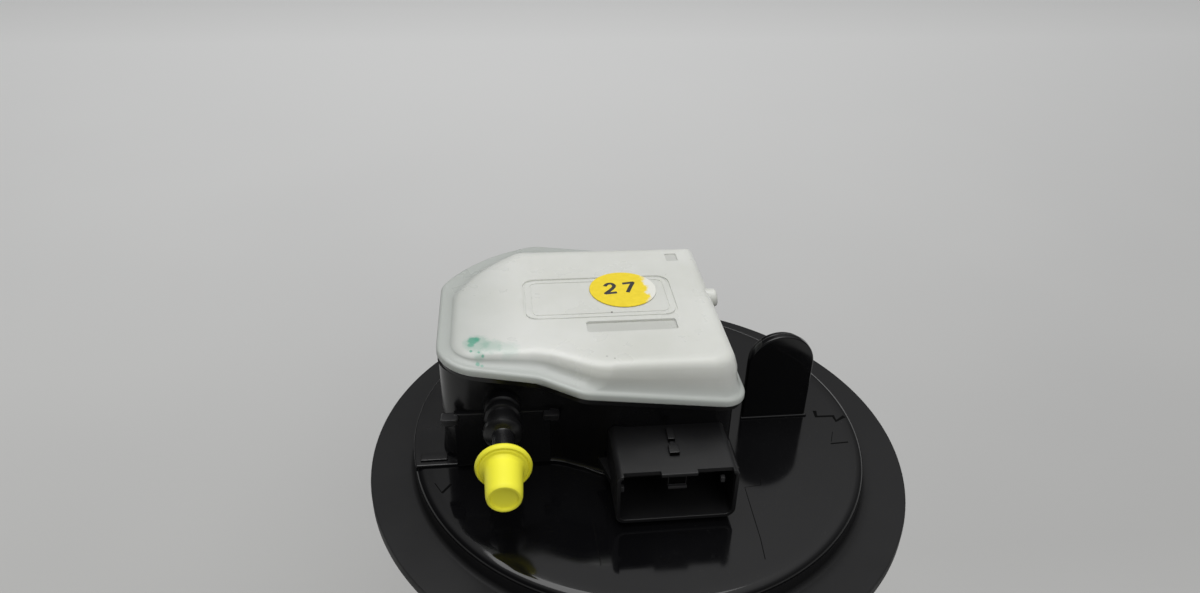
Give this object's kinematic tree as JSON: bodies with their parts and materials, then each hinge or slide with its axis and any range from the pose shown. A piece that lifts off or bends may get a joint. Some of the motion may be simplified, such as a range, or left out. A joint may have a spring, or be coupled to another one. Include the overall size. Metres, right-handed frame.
{
  "type": "fuel pump module",
  "caption": "Round tank flange with vapour separator, capped feed nipple and electrical socket above, and a sprung reservoir with pump and level sender below.",
  "frame": {"origin": "centre of the flange rim's underside, on the axis of the tank opening", "axes": "+Z points out of the tank along the flange axis; -Y is the way the feed nipple and the electrical socket face; +X completes the right hand"},
  "size_m": [0.17, 0.1772, 0.2472],
  "materials": {
    "flange_plastic": "moulded, satin black on the rim and polished on the disc",
    "housing_plastic": "polished black moulding",
    "natural_plastic": "milky unpigmented plastic, slightly translucent",
    "dot_paper": "yellow coated paper, worn to white at one edge",
    "socket_plastic": "satin black moulding",
    "tinned_brass": "tin plated",
    "nipple_plastic": "black, smooth",
    "yellow_plastic": "soft lemon-yellow plastic",
    "seal_rubber": "matte black rubber",
    "rod_steel": "drawn steel",
    "spring_steel": "spring wire",
    "black_plastic": "moulded black plastic",
    "plated_steel": "zinc plated",
    "cast_aluminium": "die cast",
    "impeller_plastic": "brown phenolic",
    "armature_iron": "varnished laminations",
    "carbon": "moulded carbon",
    "ferrite": "ferrite",
    "bush_bronze": "sintered bronze",
    "strainer_mesh": "woven nylon mesh",
    "ceramic": "ceramic card",
    "float_foam": "closed-cell foam rubber",
    "hose_plastic": "smooth black tube",
    "lead_red": "insulated wire",
    "lead_blue": "insulated wire"
  },
  "bodies": {
    "flange": {"flange_plate": "flange_plastic", "separator_housing": "housing_plastic", "separator_cover": "natural_plastic", "inspection_dot": "dot_paper", "connector_shroud": "socket_plastic", "connector_pins": "tinned_brass", "feed_nipple": "nipple_plastic", "vent_elbow": "housing_plastic", "flange_seal": "seal_rubber", "guide_rod_right": "rod_steel", "guide_rod_left": "rod_steel", "rod_clips": "spring_steel", "guide_spring_right": "spring_steel", "guide_spring_left": "spring_steel", "rollover_body": "black_plastic", "rollover_base": "black_plastic", "rollover_spring": "spring_steel", "harness_plug": "black_plastic", "feed_hose": "hose_plastic", "pump_leads": "lead_red", "sender_leads": "lead_blue"},
    "cap": {"transport_cap": "yellow_plastic"},
    "rollover_float": {"rollover_float": "natural_plastic"},
    "reservoir": {"reservoir_cup": "natural_plastic", "reservoir_lid": "black_plastic", "pump_isolator": "seal_rubber", "pump_case": "plated_steel", "pump_inlet_cover": "cast_aluminium", "pump_channel_plate": "cast_aluminium", "field_magnets": "ferrite", "pump_bushes": "bush_bronze", "pump_brushes": "carbon", "pump_end_cap": "black_plastic", "check_spring": "spring_steel", "outlet_manifold": "black_plastic", "regulator_case": "plated_steel", "regulator_spring": "spring_steel", "inlet_strainer": "strainer_mesh", "jet_pump": "natural_plastic", "jet_nozzle": "bush_bronze", "foot_valve": "seal_rubber", "sender_housing": "black_plastic", "resistor_card": "ceramic", "pump_plug": "natural_plastic"},
    "rotor": {"rotor_shaft": "rod_steel", "armature": "armature_iron", "commutator": "carbon", "impeller": "impeller_plastic"},
    "check_valve": {"check_valve": "impeller_plastic"},
    "regulator_valve": {"regulator_valve": "bush_bronze"},
    "float_arm": {"arm_hub": "natural_plastic", "wiper_contact": "tinned_brass", "float_arm": "rod_steel", "float_clip": "spring_steel"},
    "level_float": {"level_float": "float_foam"}
  },
  "joints": [
    {"name": "reservoir_slide", "type": "slide", "parent": "flange", "child": "reservoir", "axis": [0, 0, 1], "range_m": [0, 0.025], "stiffness_N_per_m": 600, "springref_m": -0.03, "deforming": ["guide_spring_right", "guide_spring_left", "feed_hose", "pump_leads", "sender_leads"]},
    {"name": "cap_pull", "type": "slide", "parent": "flange", "child": "cap", "axis": [0, -1, 0], "range_m": [0, 0.03]},
    {"name": "rollover_lift", "type": "slide", "parent": "flange", "child": "rollover_float", "axis": [0, 0, 1], "range_m": [0, 0.004], "deforming": ["rollover_spring"]},
    {"name": "rotor_spin", "type": "hinge", "parent": "reservoir", "child": "rotor", "pos_m": [0.006, 0.006, -0.13], "axis": [0, 0, 1], "continuous": true},
    {"name": "check_valve_lift", "type": "slide", "parent": "reservoir", "child": "check_valve", "axis": [0, 0, 1], "range_m": [0, 0.002], "stiffness_N_per_m": 60, "springref_m": -0.004, "deforming": ["check_spring"]},
    {"name": "regulator_lift", "type": "slide", "parent": "reservoir", "child": "regulator_valve", "axis": [0, 0, 1], "range_m": [0, 0.0015], "stiffness_N_per_m": 800, "springref_m": -0.005, "deforming": ["regulator_spring"]},
    {"name": "float_arm_hinge", "type": "hinge", "parent": "reservoir", "child": "float_arm", "pos_m": [-0.008, -0.056, -0.132], "axis": [0, -1, 0], "range_deg": [0, 75]},
    {"name": "float_spin", "type": "hinge", "parent": "float_arm", "child": "level_float", "pos_m": [0.07323, -0.0762, -0.17519], "axis": [0, -1, 0], "continuous": true}
  ]
}
